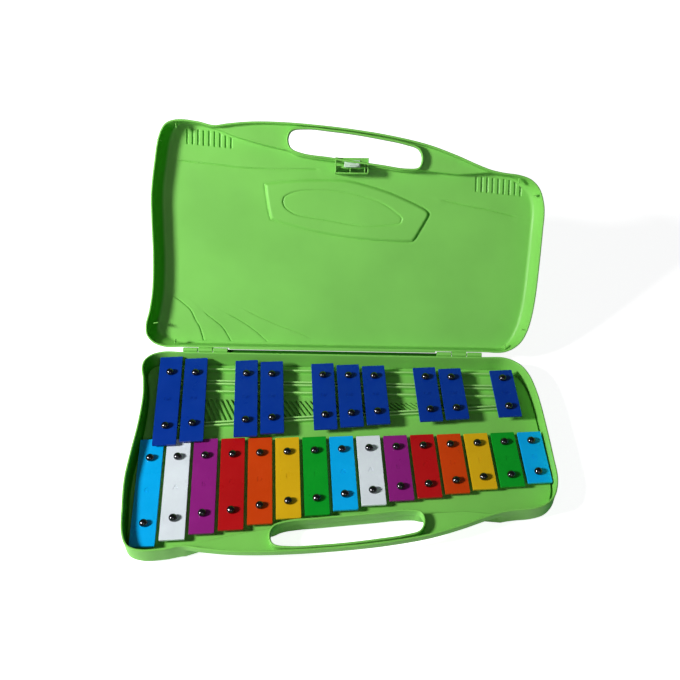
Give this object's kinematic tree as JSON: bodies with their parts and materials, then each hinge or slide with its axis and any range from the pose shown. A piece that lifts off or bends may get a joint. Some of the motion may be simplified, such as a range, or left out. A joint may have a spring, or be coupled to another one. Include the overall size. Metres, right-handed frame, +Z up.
{
  "type": "metallophone",
  "caption": "Chromatic metallophone: painted metal bars in two rows, pinned to a ribbed bed in a hinged plastic carry case with a handle slot and a sliding latch",
  "frame": {"origin": "on the table, under the middle of the closed case's tray", "axes": "+X from the low notes to the high ones, along the hinge; +Y to the hinge; +Z up"},
  "size_m": [0.43, 0.4242, 0.2085],
  "materials": {
    "case_plastic": "moulded, fine grain",
    "bed_plastic": "moulded, fine grain",
    "paint_g": "gloss paint",
    "paint_a": "gloss paint",
    "paint_b": "gloss paint",
    "paint_c": "gloss paint",
    "paint_d": "gloss paint",
    "paint_e": "gloss paint",
    "paint_f": "gloss paint",
    "paint_sharp": "gloss paint",
    "latch_plastic": "satin",
    "steel": "plain"
  },
  "bodies": {
    "case": {"tray": "case_plastic", "bar_bed": "bed_plastic", "hinge_pin_left": "steel", "hinge_pin_right": "steel", "bar_g5": "paint_g", "bar_a5": "paint_a", "bar_b5": "paint_b", "bar_c6": "paint_c", "bar_d6": "paint_d", "bar_e6": "paint_e", "bar_f6": "paint_f", "bar_g6": "paint_g", "bar_a6": "paint_a", "bar_b6": "paint_b", "bar_c7": "paint_c", "bar_d7": "paint_d", "bar_e7": "paint_e", "bar_f7": "paint_f", "bar_g7": "paint_g", "bar_g_sharp5": "paint_sharp", "bar_a_sharp5": "paint_sharp", "bar_c_sharp6": "paint_sharp", "bar_d_sharp6": "paint_sharp", "bar_f_sharp6": "paint_sharp", "bar_g_sharp6": "paint_sharp", "bar_a_sharp6": "paint_sharp", "bar_c_sharp7": "paint_sharp", "bar_d_sharp7": "paint_sharp", "bar_f_sharp7": "paint_sharp"},
    "lid": {"lid": "case_plastic"},
    "latch": {"latch_slider": "latch_plastic"}
  },
  "joints": [
    {"name": "lid_hinge", "type": "hinge", "parent": "case", "child": "lid", "pos_m": [0, 0.1256, 0.023], "axis": [1, 0, 0], "range_deg": [0, 131.4]},
    {"name": "latch_slide", "type": "slide", "parent": "lid", "child": "latch", "axis": [-1, 0, 0], "range_m": [0, 0.006]}
  ]
}
